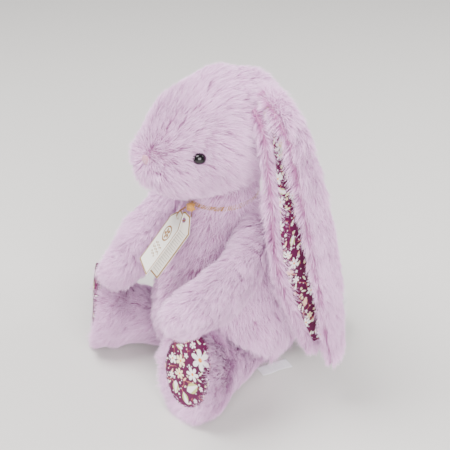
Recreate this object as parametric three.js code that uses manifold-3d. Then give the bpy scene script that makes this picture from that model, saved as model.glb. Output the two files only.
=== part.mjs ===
// A seated lop-eared plush rabbit: soft panels over stuffing, bean-weighted seat and feet, printed cotton
// soles and ear linings, bead eyes, a ribbon collar with a folded swing tag, and a sewn-in care label.
// Millimetres. The rabbit faces -Y, its left side is +X, +Z is up, and it sits on the plane z = 0.
import * as THREE from 'three';
import { mergeVertices } from 'three/addons/utils/BufferGeometryUtils.js';
import Module from 'manifold-3d';

const wasm = await Module();
wasm.setup();

// ---- Fits and walls ----
const GAP = 0.3; // clearance between pieces that touch
const PANEL = 3; // plush panel: backing cloth and pressed pile
const COTTON = 1.2; // printed cotton with its turned hem
const REACH = 500; // size of the blocks that halve and trim a piece

// ---- Facets of the stuffed forms: around, along ----
const TORSO_GRID = [14, 10];
const HEAD_GRID = [14, 10];
const ARM_GRID = [10, 8];
const LEG_GRID = [12, 9];
const NECK_GRID = [16, 10];
const SWEEP_STEPS = 4; // poses joined to make the room that a limb swings through
const SWEEP_ROOM = 0.6; // extra room between those poses

// ---- Body ----
const TORSO_HEIGHT = 150;
const TORSO_SINK = 8; // how far the pear's round end is pressed flat on the seat
const TORSO_WIDTHS = [54, 59, 57, 49, 42, 36, 33];
const TORSO_DEPTHS = [55, 62, 60, 52, 44, 36, 33];
const TORSO_LEAN = 4; // the neck stands this far in front of the seat
const BEANS_TOP = 26; // the bean pouch fills the seat up to here
const NECK_RADIUS = 27;
const NECK_CLEARANCE = 0.95; // the head's hollow is wider than the neck ball by this
const NECK_DROP = 8; // the neck ball's centre lies this far under the torso's top
const SEAT_PATCH_RADIUS = 17;
const SEAT_PATCH_BACK = 13; // its centre lies this far behind the neck's plumb line

// ---- Head ----
const HEAD_LENGTH = 107;
const HEAD_RISE = 38; // the middle of the head above the neck ball's centre
const HEAD_BACK = 48; // the back of the head behind the neck
const HEAD_WIDTHS = [37, 41, 41, 37, 32, 26];
const HEAD_HEIGHTS = [37, 41, 42, 40, 35, 28];
const MUZZLE_DROP = 15; // the nose end lies this far under the middle of the head
const EYE_RADIUS = 4.4;
const EYE_ALONG = 0.755; // share of the head's length from back to nose
const EYE_LIFT_ANGLE = 15; // degrees above the head's side
const EYE_PROUD = 1.2; // the bead's dome stands this far out of the pile
const SHANK_RADIUS = 1.6;
const SHANK_LENGTH = 9;
const WASHER_RADIUS = 4.6;
const WASHER_THICKNESS = 1.4;
const WASHER_LIFT = 1.5; // the washer stands this far up the shank
const NOSE_WIDTH = 11;
const NOSE_HEIGHT = 8;
const NOSE_THICKNESS = 2.5;

// ---- Arms ----
const SHOULDER = { out: 40, forward: 8, height: 124 };
const SHOULDER_RADIUS = 16;
const ARM_REACH = 88; // shoulder pivot to paw tip
const ARM_RADIUS = 15.5;
const PAW_RADIUS = 22;
const ARM_BOW = 7; // the elbow bows out by this
const ARM_SAG = 8; // and hangs below the straight line to the paw by this
const ARM_POSES = { left: { lower: 26, yaw: 8 }, right: { lower: 40, yaw: -3 } };
const ARM_LIFT = 45; // degrees that an arm lifts from its rest

// ---- Legs ----
const HIP = { out: 26, height: 28, forward: { left: 4, right: 21 } }; // the seat is turned a little
const HIP_RADIUS = 20;
const LEG_RADIUS = 20;
const LEG_REACH = 64; // hip pivot to sole
const FOOT_LENGTH = 20; // the foot's thickness behind the sole
const FOOT_HALF_WIDTH = 33;
const FOOT_HEIGHT = 78;
const PAD_HALF_WIDTH = 20;
const PAD_HALF_HEIGHT = 28;
const PAD_THICKNESS = 1.8;
const LEG_POSES = { left: { splay: 17, toe: -9, lean: 12 }, right: { splay: 41, toe: -8, lean: 6 } };
const LEG_FLAT = 1.5; // pressed flat on the table by this
const LEG_DROP = 24; // degrees that a leg dangles when the rabbit is picked up

// ---- Ears ----
const EAR_HANGS = {
  left: {
    root: { out: 36, back: 4, height: 211 },
    hem: [[-4, -9, 0], [13, -15, -10], [25, -18, -45], [35.5, -17, -108], [41.5, 10, -179]], // from its root
  },
  right: {
    root: { out: 37, back: 18, height: 184 },
    hem: [[-2, -12, 0], [9, -13, -12], [18, -11, -42], [27, -6, -95], [31, 12, -166]],
  },
};
const EAR_WIDTHS = [30, 33, 38, 46, 56, 52, 28]; // evenly spaced from the root to the tip
const EAR_PAGES = [0.52, 0.55, 0.6, 0.66, 0.58]; // share of the flat width that lies in front of the fold
const EAR_BACK_THICKNESS = 7;
const LINING_INSET = 6; // plush hem left round the lining
const LINING_END = 0.965; // the lining ends at this share of the ear's length
const EAR_FOLD = 165; // degrees that the ear turns round its lengthwise fold
const EAR_FOLD_ARC = 12; // width of lining that the fold takes
const EAR_TURN = 0.2; // the ear's flat side turns this much towards the back
const PAGE_FACETS = 3;
const FOLD_FACETS = 5;
const EAR_FACETS = 11; // along the ear

// ---- Tail, collar, tag and label ----
const TAIL_RADIUS = 21;
const TAIL_HEIGHT = 25;
const TAIL_TURN = 22; // degrees that the tail sits round towards the left
const RIBBON_WIDTH = 3.4;
const RIBBON_THICKNESS = 0.7;
const COLLAR_HEIGHT = 135;
const KNOT_RADIUS = 2.6;
const KNOT_TURN = 12; // degrees that the knot sits round from the front towards the left
const LOOP_RADIUS = 0.6;
const TAG_WIDTH = 21;
const TAG_LENGTH = 47;
const TAG_POINT = 9;
const TAG_HOLE_RADIUS = 1.8;
const TAG_THICKNESS = 0.6;
const TAG_HOLE_DROP = 5; // the hole lies this far under the point
const TAG_HANG = { out: 8, drop: 7, aside: -3 }; // the hole from the knot
const TAG_LEAN = 36; // degrees from upright, as the chest slopes
const TAG_YAW = -22;
const TAG_OPEN = 24; // degrees between the two leaves
const LABEL_WIDTH = 24;
const LABEL_LENGTH = 10;
const LABEL_PLACE = { out: 41.6, back: 13 };
const LABEL_TURN = -12;
const LABEL_LIFT = 0.1;
const LABEL_THICKNESS = 0.5;

const radians = THREE.MathUtils.degToRad;
const v3 = (x, y, z) => new THREE.Vector3(x, y, z);

// ---- Solids ----
function solid(geometry) {
  const bare = geometry.clone();
  bare.deleteAttribute('normal');
  bare.deleteAttribute('uv');
  const merged = mergeVertices(bare, 1e-4);
  const mesh = new wasm.Mesh({
    numProp: 3,
    vertProperties: new Float32Array(merged.attributes.position.array),
    triVerts: new Uint32Array(merged.index.array),
  });
  return new wasm.Manifold(mesh);
}

/** The mesh of a solid's main body; crumbs that a cut leaves behind are trimmed off. */
function geometryOf(manifold) {
  const bodies = manifold.decompose().sort((a, b) => b.volume() - a.volume());
  const mesh = bodies[0].getMesh();
  const geometry = new THREE.BufferGeometry();
  geometry.setAttribute('position', new THREE.BufferAttribute(new Float32Array(mesh.vertProperties), 3));
  geometry.setIndex(new THREE.BufferAttribute(new Uint32Array(mesh.triVerts), 1));
  geometry.computeVertexNormals();
  return geometry;
}

/** A ball about a point. */
function ball(centre, radius, around = 16, along = 10) {
  return solid(new THREE.SphereGeometry(radius, around, along).translate(centre.x, centre.y, centre.z));
}

/** Everything on the far side of a plane, as a large block. */
function beyond(point, normal) {
  const block = new THREE.BoxGeometry(REACH, REACH, REACH).translate(0, 0, REACH / 2);
  const turn = new THREE.Quaternion().setFromUnitVectors(v3(0, 0, 1), normal.clone().normalize());
  return solid(block.applyQuaternion(turn).translate(point.x, point.y, point.z));
}

/** The two sides of a solid, a clearance apart at the plane: [along the normal, against it]. */
function halves(manifold, point, normal) {
  const unit = normal.clone().normalize();
  const front = point.clone().addScaledVector(unit, GAP / 2);
  const back = point.clone().addScaledVector(unit, -GAP / 2);
  return [
    manifold.intersect(beyond(front, unit)),
    manifold.intersect(beyond(back, unit.clone().negate())),
  ];
}

/** A stuffed form: rings of given half widths and half heights along a spine, closed by round ends. */
class Form {
  constructor({ spine, widths, heights, side = v3(1, 0, 0), blunt = 0.6 }) {
    this.spine = new THREE.CatmullRomCurve3(spine, false, 'catmullrom');
    this.girth = new THREE.CatmullRomCurve3(widths.map((width, i) => v3(width, heights[i], 0)), false, 'catmullrom');
    this.side = side;
    this.blunt = blunt;
  }

  /** The point at a share of the length and an angle round the spine; 0 is the side, 90 the top. */
  point(share, angle) {
    const along = this.spine.getTangent(share);
    const side = this.side.clone().addScaledVector(along, -this.side.dot(along)).normalize();
    const up = along.clone().cross(side);
    const size = this.girth.getPoint(share);
    const swell = Math.pow(Math.max(4 * share * (1 - share), 0), this.blunt / 2);
    return this.spine.getPoint(share)
      .addScaledVector(side, swell * size.x * Math.cos(angle))
      .addScaledVector(up, swell * size.y * Math.sin(angle));
  }

  /** The outward direction at that point. */
  normal(share, angle) {
    const step = 0.01;
    const alongEdge = this.point(share + step, angle).sub(this.point(share - step, angle));
    const aroundEdge = this.point(share, angle + step).sub(this.point(share, angle - step));
    return aroundEdge.cross(alongEdge).normalize();
  }

  /** The closed surface, moved in by an inset or out by a negative one. */
  geometry(inset = 0, around = 18, along = 12) {
    const grid = new THREE.SphereGeometry(1, around, along);
    const place = grid.attributes.position;
    for (let i = 0; i < place.count; i += 1) {
      const share = THREE.MathUtils.clamp((1 - place.getY(i)) / 2, 0, 1);
      const spot = this.point(share, Math.atan2(place.getZ(i), place.getX(i)));
      place.setXYZ(i, spot.x, spot.y, spot.z);
    }
    grid.deleteAttribute('normal');
    grid.deleteAttribute('uv');
    const merged = mergeVertices(grid, 1e-4);
    merged.computeVertexNormals();
    const normal = merged.attributes.normal;
    const moved = merged.attributes.position;
    for (let i = 0; i < moved.count; i += 1) {
      const spot = v3().fromBufferAttribute(moved, i);
      spot.addScaledVector(v3().fromBufferAttribute(normal, i), -inset);
      moved.setXYZ(i, spot.x, spot.y, spot.z);
    }
    return merged;
  }
}

/** Outer skin, hollow and filling of a form, all cut back from the same neighbours. */
function layers(form, cutters, grid, extra = () => null) {
  const body = (inset) => {
    let piece = solid(form.geometry(inset, ...grid));
    const addition = extra(inset);
    if (addition) piece = piece.add(addition);
    for (const cutter of cutters(inset)) piece = piece.subtract(cutter);
    return piece;
  };
  return { shell: body(0).subtract(body(PANEL)), filling: body(PANEL + GAP), outer: body(0) };
}

// ---- Finishes ----
const finish = (color, roughness = 0.95, metalness = 0) => ({ color, roughness, metalness });
const PLUSH = finish(0xd6c0d6);
const PRINT = finish(0x6a2046, 0.8);
const FLUFF = finish(0xf2f0f2);
const STUFFING = finish(0xf4f3ef);
const BEANS = finish(0xd9d4c8, 0.85);
const BEAD = finish(0x0c0b0d, 0.15);
const WASHER = finish(0xe8e6e0, 0.5);
const PINK = finish(0xc98a9c, 0.85);
const GOLD = finish(0xb98a35, 0.4, 0.2);
const CARD = finish(0xefe9da, 0.7);
const SATIN = finish(0xf1f0f4, 0.45);

const rabbit = new THREE.Group();

function put(parent, name, shape, look) {
  const geometry = shape instanceof THREE.BufferGeometry ? shape : geometryOf(shape);
  const mesh = new THREE.Mesh(geometry, new THREE.MeshStandardMaterial(look));
  mesh.name = name;
  parent.add(mesh);
  return mesh;
}

function group(position, yaw = 0, pitch = 0) {
  const holder = new THREE.Group();
  holder.position.copy(position);
  holder.rotation.set(radians(pitch), 0, radians(yaw), 'ZYX');
  rabbit.add(holder);
  return holder;
}

const SIDES = [['left', 1], ['right', -1]];
const shoulderOf = (sign) => v3(sign * SHOULDER.out, -SHOULDER.forward, SHOULDER.height);
const hipOf = (side, sign) => v3(sign * HIP.out, -HIP.forward[side], HIP.height);

/** An arm along -Y from its shoulder: it sags and bows at the elbow and ends in a round paw. */
const armForm = (sign) => new Form({
  spine: [
    v3(0, SHOULDER_RADIUS, 0),
    v3(sign * ARM_BOW * 0.7, -ARM_REACH * 0.2, -ARM_SAG * 0.8),
    v3(sign * ARM_BOW, -ARM_REACH * 0.5, -ARM_SAG),
    v3(0, -ARM_REACH, 0),
  ],
  widths: [SHOULDER_RADIUS - 1, ARM_RADIUS, ARM_RADIUS, ARM_RADIUS + 3, PAW_RADIUS],
  heights: [SHOULDER_RADIUS - 1, ARM_RADIUS, ARM_RADIUS + 1, ARM_RADIUS + 3, PAW_RADIUS],
  blunt: 0.6,
});

/** A leg along -Y from its hip: a tube lying on the table that ends in an upright foot. */
function legFrame(side, sign) {
  const toe = radians(sign * LEG_POSES[side].toe);
  const forward = v3(Math.sin(toe), -Math.cos(toe), 0);
  const tubeLift = LEG_RADIUS - HIP.height - LEG_FLAT;
  const footLift = FOOT_HEIGHT / 2 - HIP.height - LEG_FLAT;
  const ankle = v3(0, FOOT_LENGTH - LEG_REACH, 0);
  const tilt = radians(LEG_POSES[side].lean);
  const soleNormal = forward.clone().multiplyScalar(Math.cos(tilt)).add(v3(0, 0, Math.sin(tilt)));
  const soleCentre = ankle.clone().addScaledVector(forward, FOOT_LENGTH).setZ(footLift);
  const form = new Form({
    spine: [
      v3(0, HIP_RADIUS - 2, tubeLift),
      v3(0, -LEG_REACH * 0.15, tubeLift),
      ankle.clone().setZ(tubeLift * 0.6 + footLift * 0.4),
      ankle.clone().addScaledVector(forward, FOOT_LENGTH * 1.5).setZ(footLift),
    ],
    widths: [LEG_RADIUS - 3, LEG_RADIUS, LEG_RADIUS, LEG_RADIUS + 2, FOOT_HALF_WIDTH, FOOT_HALF_WIDTH + 2],
    heights: [LEG_RADIUS - 3, LEG_RADIUS, LEG_RADIUS, LEG_RADIUS + 3, FOOT_HEIGHT / 2, FOOT_HEIGHT / 2 + 2],
    blunt: 0.4,
  });
  return { form, forward, ankle, soleNormal, soleCentre };
}

/** The room that a limb takes up while its pitch runs through its range. */
function sweep(form, grid, pivot, yaw, pitches, margin) {
  const blank = form.geometry(-margin, ...grid);
  const poses = pitches.map((pitch) => {
    const turn = new THREE.Euler(radians(pitch), 0, radians(yaw), 'ZYX');
    const matrix = new THREE.Matrix4().makeRotationFromEuler(turn).setPosition(pivot);
    return solid(blank.clone().applyMatrix4(matrix));
  });
  return poses.reduce((whole, pose) => whole.add(pose));
}

const steps = (from, to, count) => Array.from({ length: count }, (_, i) => from + ((to - from) * i) / (count - 1));

const armSweep = (side, sign, margin) => {
  const { lower, yaw } = ARM_POSES[side];
  const pitches = steps(lower, lower - ARM_LIFT, SWEEP_STEPS);
  return sweep(armForm(sign), ARM_GRID, shoulderOf(sign), sign * yaw, pitches, margin);
};

const legSweep = (side, sign, margin) => sweep(
  legFrame(side, sign).form,
  LEG_GRID,
  hipOf(side, sign),
  sign * LEG_POSES[side].splay,
  steps(0, LEG_DROP, SWEEP_STEPS),
  margin,
);

// ---- Torso ----
const torsoForm = new Form({
  spine: [v3(0, 4, -TORSO_SINK), v3(0, 2, TORSO_HEIGHT * 0.45), v3(0, -TORSO_LEAN, TORSO_HEIGHT)],
  widths: TORSO_WIDTHS,
  heights: TORSO_DEPTHS,
});
const neck = v3(0, -TORSO_LEAN, TORSO_HEIGHT - NECK_DROP);

const torso = layers(
  torsoForm,
  (inset) => [
    beyond(v3(0, 0, inset), v3(0, 0, -1)),
    ...SIDES.flatMap(([side, sign]) => [
      armSweep(side, sign, GAP + SWEEP_ROOM + inset),
      legSweep(side, sign, GAP + SWEEP_ROOM + inset),
    ]),
  ],
  TORSO_GRID,
  (inset) => ball(neck, NECK_RADIUS - inset, ...NECK_GRID),
);
const seatCore = (clearance) => solid(
  new THREE.CylinderGeometry(SEAT_PATCH_RADIUS - clearance, SEAT_PATCH_RADIUS - clearance, PANEL, 20)
    .rotateX(Math.PI / 2).translate(0, SEAT_PATCH_BACK, PANEL / 2),
);
const [backPanel, frontPanel] = halves(torso.shell.subtract(seatCore(-GAP)), v3(0, 0, 0), v3(0, 1, 0));
put(rabbit, 'torso_front_panel', frontPanel, PLUSH);
put(rabbit, 'torso_back_panel', backPanel, PLUSH);
put(rabbit, 'seat_patch', seatCore(0), PLUSH);
const [torsoFill, seatFill] = halves(torso.filling, v3(0, 0, BEANS_TOP), v3(0, 0, 1));
put(rabbit, 'torso_stuffing', torsoFill, STUFFING);
put(rabbit, 'seat_bean_pouch', seatFill, BEANS);

// ---- Head ----
const headForm = new Form({
  spine: [
    v3(0, neck.y + HEAD_BACK, neck.z + HEAD_RISE),
    v3(0, neck.y + HEAD_BACK - HEAD_LENGTH * 0.35, neck.z + HEAD_RISE),
    v3(0, neck.y + HEAD_BACK - HEAD_LENGTH * 0.7, neck.z + HEAD_RISE - MUZZLE_DROP * 0.35),
    v3(0, neck.y + HEAD_BACK - HEAD_LENGTH, neck.z + HEAD_RISE - MUZZLE_DROP),
  ],
  widths: HEAD_WIDTHS,
  heights: HEAD_HEIGHTS,
  blunt: 0.55,
});

/** A bead eye on its shank, or its washer, grown by a clearance. */
function eyePieces(sign, clearance) {
  const angle = sign > 0 ? radians(EYE_LIFT_ANGLE) : Math.PI - radians(EYE_LIFT_ANGLE);
  const spot = headForm.point(EYE_ALONG, angle);
  const out = headForm.normal(EYE_ALONG, angle);
  const turn = new THREE.Quaternion().setFromUnitVectors(v3(0, 1, 0), out);
  const base = spot.addScaledVector(out, EYE_PROUD - EYE_RADIUS);
  const place = (geometry) => solid(geometry.applyQuaternion(turn).translate(base.x, base.y, base.z));
  const dome = EYE_RADIUS + clearance;
  const shank = SHANK_RADIUS + clearance;
  const deep = -SHANK_LENGTH - clearance;
  const profile = [new THREE.Vector2(0, deep), new THREE.Vector2(shank, deep), new THREE.Vector2(shank, -1 - clearance)];
  for (let step = -1; step <= 4; step += 1) {
    const rise = (step / 4) * (Math.PI / 2);
    const reach = step < 4 ? dome * Math.cos(rise) : 0;
    profile.push(new THREE.Vector2(reach, dome * Math.sin(rise)));
  }
  const washerRing = [
    [shankBore(clearance), -SHANK_LENGTH + WASHER_LIFT - clearance],
    [WASHER_RADIUS + clearance, -SHANK_LENGTH + WASHER_LIFT - clearance],
    [WASHER_RADIUS + clearance, -SHANK_LENGTH + WASHER_LIFT + WASHER_THICKNESS + clearance],
    [shankBore(clearance), -SHANK_LENGTH + WASHER_LIFT + WASHER_THICKNESS + clearance],
  ].map(([x, y]) => new THREE.Vector2(x, y));
  washerRing.push(washerRing[0].clone());
  return {
    bead: place(new THREE.LatheGeometry(profile, 12)),
    washer: place(new THREE.LatheGeometry(washerRing, 12)),
  };
}
function shankBore(clearance) {
  return clearance > 0 ? SHANK_RADIUS * 0.5 : SHANK_RADIUS + GAP;
}

const eyes = SIDES.map(([side, sign]) => ({ side, exact: eyePieces(sign, 0), grown: eyePieces(sign, GAP) }));
const nosePlace = headForm.point(0.995, Math.PI / 2).add(v3(0, 0.5, 2));
const nosePiece = (clearance) => solid(
  new THREE.SphereGeometry(1, 10, 6)
    .scale(NOSE_WIDTH / 2 + clearance, NOSE_THICKNESS + clearance, NOSE_HEIGHT / 2 + clearance)
    .translate(nosePlace.x, nosePlace.y, nosePlace.z),
);
const head = layers(
  headForm,
  (inset) => [
    ball(neck, NECK_RADIUS + NECK_CLEARANCE + inset, ...NECK_GRID),
    ...eyes.flatMap(({ grown }) => (inset > PANEL ? [grown.bead, grown.washer] : [grown.bead])),
    nosePiece(GAP),
  ],
  HEAD_GRID,
);
const [headLeft, headRight] = halves(head.shell, v3(0, 0, 0), v3(1, 0, 0));
put(rabbit, 'head_left_panel', headLeft, PLUSH);
put(rabbit, 'head_right_panel', headRight, PLUSH);
put(rabbit, 'head_stuffing', head.filling, STUFFING);
for (const { side, exact } of eyes) {
  put(rabbit, `eye_${side}`, exact.bead, BEAD);
  put(rabbit, `eye_washer_${side}`, exact.washer, WASHER);
}
put(rabbit, 'nose', nosePiece(0), PINK);

// ---- Arms ----
for (const [side, sign] of SIDES) {
  const { lower, yaw } = ARM_POSES[side];
  const arm = group(shoulderOf(sign), sign * yaw, lower);
  const { shell, filling } = layers(armForm(sign), () => [], ARM_GRID);
  const [outer, inner] = halves(shell, v3(sign * ARM_BOW * 0.5, 0, 0), v3(sign, 0, 0));
  put(arm, `arm_${side}_outer_panel`, outer, PLUSH);
  put(arm, `arm_${side}_inner_panel`, inner, PLUSH);
  put(arm, `arm_${side}_stuffing`, filling, STUFFING);
}

// ---- Legs ----
for (const [side, sign] of SIDES) {
  const { form, forward, ankle, soleNormal, soleCentre } = legFrame(side, sign);
  const leg = group(hipOf(side, sign), sign * LEG_POSES[side].splay);
  const across = v3(0, 0, 1).cross(soleNormal).normalize();
  const toSole = new THREE.Matrix4().makeBasis(across, soleNormal.clone().cross(across), soleNormal);
  const padBlank = (margin, depth) => {
    const oval = new THREE.Shape().absellipse(0, 0, PAD_HALF_WIDTH + margin, PAD_HALF_HEIGHT + margin, 0, 2 * Math.PI);
    const shape = new THREE.ExtrudeGeometry(oval, { depth, bevelEnabled: false, curveSegments: 14 });
    const foot = soleCentre.clone().addScaledVector(soleNormal, -PAD_THICKNESS - margin);
    return solid(shape.applyMatrix4(toSole).translate(foot.x, foot.y, foot.z));
  };
  const cutters = (inset) => [
    beyond(v3(0, 0, inset - HIP.height), v3(0, 0, -1)),
    beyond(soleCentre.clone().addScaledVector(soleNormal, -inset), soleNormal),
    padBlank(GAP, 3 * PAD_THICKNESS),
  ];
  const { shell, filling } = layers(form, cutters, LEG_GRID);
  const [outer, inner] = halves(shell, v3(0, 0, 0), v3(sign, 0, 0));
  put(leg, `leg_${side}_outer_panel`, outer, PLUSH);
  put(leg, `leg_${side}_inner_panel`, inner, PLUSH);
  put(leg, `foot_${side}_sole_pad`, padBlank(0, PAD_THICKNESS), PRINT);
  const [beans, stuffing] = halves(filling, ankle, forward);
  put(leg, `foot_${side}_bean_pouch`, beans, BEANS);
  put(leg, `leg_${side}_stuffing`, stuffing, STUFFING);
}

// ---- Ears ----
/** A value read from an evenly spaced list, in straight steps. */
function along(list, share) {
  const at = THREE.MathUtils.clamp(share, 0, 1) * (list.length - 1);
  const low = Math.min(Math.floor(at), list.length - 2);
  return THREE.MathUtils.lerp(list[low], list[low + 1], at - low);
}

/** Where a place on the lining lies in the ear's folded section, measured from the front hem. */
function folded(distance, foldStart) {
  const turn = radians(EAR_FOLD);
  const radius = EAR_FOLD_ARC / turn;
  const angle = THREE.MathUtils.clamp((distance - foldStart) / EAR_FOLD_ARC, 0, 1) * turn;
  const flat = Math.min(distance, foldStart);
  const page = Math.max(distance - foldStart - EAR_FOLD_ARC, 0);
  return {
    x: flat + radius * Math.sin(angle) + page * Math.cos(angle),
    y: radius * (1 - Math.cos(angle)) + page * Math.sin(angle),
    angle,
  };
}

/** The n-th column of facets: a few on each page and more round the fold. */
function column(n, width, foldStart, hem) {
  if (n <= PAGE_FACETS) return THREE.MathUtils.lerp(hem, foldStart, n / PAGE_FACETS);
  const round = n - PAGE_FACETS;
  if (round <= FOLD_FACETS) return foldStart + (EAR_FOLD_ARC * round) / FOLD_FACETS;
  return THREE.MathUtils.lerp(foldStart + EAR_FOLD_ARC, width - hem, (round - FOLD_FACETS) / PAGE_FACETS);
}

/** One layer of an ear between two depths under the lining's face, with a hem left free round it. */
function earLayer(side, sign, inner, outer, hem) {
  const hang = EAR_HANGS[side];
  const root = v3(sign * hang.root.out, hang.root.back, hang.root.height);
  const frontHem = new THREE.CatmullRomCurve3(
    hang.hem.map(([out, back, rise]) => root.clone().add(v3(sign * out, back, rise))),
    false,
    'catmullrom',
  );
  const columns = 2 * PAGE_FACETS + FOLD_FACETS;
  const end = hem > 0 ? LINING_END : 1;
  const box = new THREE.BoxGeometry(1, 1, 1, columns, EAR_FACETS, 1);
  const place = box.attributes.position;
  for (let i = 0; i < place.count; i += 1) {
    const share = Math.min(Math.round((0.5 - place.getY(i)) * EAR_FACETS) / EAR_FACETS, end);
    const depth = place.getZ(i) * sign < 0 ? outer : inner;
    const width = along(EAR_WIDTHS, share);
    const foldStart = Math.max((width - EAR_FOLD_ARC) * along(EAR_PAGES, share), hem + 1);
    const distance = column(Math.round((place.getX(i) + 0.5) * columns), width, foldStart, hem);
    const { x, y, angle } = folded(distance, foldStart);
    const down = frontHem.getTangent(share);
    const facing = v3(sign * EAR_TURN, 1, 0);
    const backward = facing.clone().addScaledVector(down, -down.dot(facing)).normalize();
    const outward = down.clone().cross(backward).multiplyScalar(sign);
    const spot = frontHem.getPoint(share)
      .addScaledVector(backward, x + depth * Math.sin(angle))
      .addScaledVector(outward, y - depth * Math.cos(angle));
    place.setXYZ(i, spot.x, spot.y, spot.z);
  }
  return box;
}
for (const [side, sign] of SIDES) {
  const seamRoom = solid(headForm.geometry(-GAP, ...HEAD_GRID)); // the root ends where the head begins
  const back = solid(earLayer(side, sign, COTTON + GAP, COTTON + GAP + EAR_BACK_THICKNESS, 0));
  const lining = solid(earLayer(side, sign, 0, COTTON, LINING_INSET));
  put(rabbit, `ear_${side}_back`, back.subtract(seamRoom), PLUSH);
  put(rabbit, `ear_${side}_lining`, lining.subtract(seamRoom), PRINT);
}

// ---- Tail ----
const shareAt = (height) => (height + TORSO_SINK) / (TORSO_HEIGHT + TORSO_SINK);
const tailAngle = radians(90 - TAIL_TURN);
const tailCentre = torsoForm.point(shareAt(TAIL_HEIGHT), tailAngle)
  .addScaledVector(torsoForm.normal(shareAt(TAIL_HEIGHT), tailAngle), TAIL_RADIUS * 0.5);
const rump = (margin) => solid(torsoForm.geometry(-margin, ...TORSO_GRID));
const tailBall = (inset) => ball(tailCentre, TAIL_RADIUS - inset, 14, 10).subtract(rump(GAP));
put(rabbit, 'tail_cover', tailBall(0).subtract(ball(tailCentre, TAIL_RADIUS - PANEL, 14, 10)), FLUFF);
put(rabbit, 'tail_stuffing', tailBall(PANEL + GAP), STUFFING);

// ---- Collar and knot ----
const throat = (margin) => rump(margin).add(ball(neck, NECK_RADIUS + margin, ...NECK_GRID));
const collarBand = throat(GAP + RIBBON_THICKNESS).subtract(throat(GAP))
  .intersect(beyond(v3(0, 0, COLLAR_HEIGHT - RIBBON_WIDTH / 2), v3(0, 0, 1)))
  .intersect(beyond(v3(0, 0, COLLAR_HEIGHT + RIBBON_WIDTH / 2), v3(0, 0, -1)));
put(rabbit, 'neck_ribbon', collarBand, GOLD);
const collarReach = Math.sqrt(NECK_RADIUS ** 2 - (neck.z - COLLAR_HEIGHT) ** 2);
const knotReach = collarReach + 2 * GAP + RIBBON_THICKNESS + KNOT_RADIUS;
const knotTurn = radians(KNOT_TURN);
const knotPlace = v3(knotReach * Math.sin(knotTurn), neck.y - knotReach * Math.cos(knotTurn), COLLAR_HEIGHT);
put(rabbit, 'ribbon_knot', ball(knotPlace, KNOT_RADIUS, 10, 8), GOLD);

// ---- Swing tag: two card leaves joined at a fold, on a ribbon loop ----
const tag = group(
  knotPlace.clone().add(v3(TAG_HANG.aside, -TAG_HANG.out, -TAG_HANG.drop)),
  TAG_YAW,
  90 - TAG_LEAN,
);
function leafShape() {
  const half = TAG_WIDTH / 2;
  const foot = TAG_HOLE_DROP - TAG_LENGTH;
  const outline = new THREE.Shape([
    new THREE.Vector2(-half, foot),
    new THREE.Vector2(half, foot),
    new THREE.Vector2(half, TAG_HOLE_DROP - TAG_POINT),
    new THREE.Vector2(3, TAG_HOLE_DROP),
    new THREE.Vector2(-3, TAG_HOLE_DROP),
    new THREE.Vector2(-half, TAG_HOLE_DROP - TAG_POINT),
  ]);
  outline.holes.push(new THREE.Path().absarc(0, 0, TAG_HOLE_RADIUS, 0, 2 * Math.PI, true));
  return new THREE.ExtrudeGeometry(outline, { depth: TAG_THICKNESS, bevelEnabled: false, curveSegments: 6 });
}
put(tag, 'tag_front_leaf', leafShape(), CARD);
const fold = new THREE.Group();
fold.position.set(-TAG_WIDTH / 2, 0, 0);
fold.rotation.set(0, radians(TAG_OPEN), 0);
tag.add(fold);
put(fold, 'tag_back_leaf', leafShape().translate(TAG_WIDTH / 2, 0, -GAP - TAG_THICKNESS), CARD);
const loopPath = new THREE.CatmullRomCurve3([
  v3(-0.5, 8.4, -5.3),
  v3(-0.9, 4, -7.5),
  v3(-0.9, -0.2, -5),
  v3(0, -0.2, 1.2),
  v3(0.3, 4, 2.8),
  v3(0.1, 9.2, 0.5),
]); // from behind the knot, through both leaves and back up in front
const loopSection = new THREE.Shape().absarc(0, 0, LOOP_RADIUS, 0, 2 * Math.PI);
put(
  tag,
  'tag_ribbon_loop',
  new THREE.ExtrudeGeometry(loopSection, { steps: 18, extrudePath: loopPath, curveSegments: 3 }),
  GOLD,
);

// ---- Care label, sewn in at the seat seam ----
const label = group(v3(LABEL_PLACE.out, LABEL_PLACE.back, LABEL_LIFT + LABEL_THICKNESS / 2), LABEL_TURN);
put(label, 'care_label', new THREE.BoxGeometry(LABEL_LENGTH, LABEL_WIDTH, LABEL_THICKNESS), SATIN);

export default rabbit;
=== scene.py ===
"""A seated plush rabbit: combed pile over soft stuffed skins, flowered cotton soles and ear linings,
bead eyes, a gold ribbon with a folded card tag, and a satin care label.
Metres; it faces -Y and sits on z = 0."""
import math

import bmesh
import bpy
import numpy as np
from mathutils import Matrix, Vector
from mathutils.bvhtree import BVHTree


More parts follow.
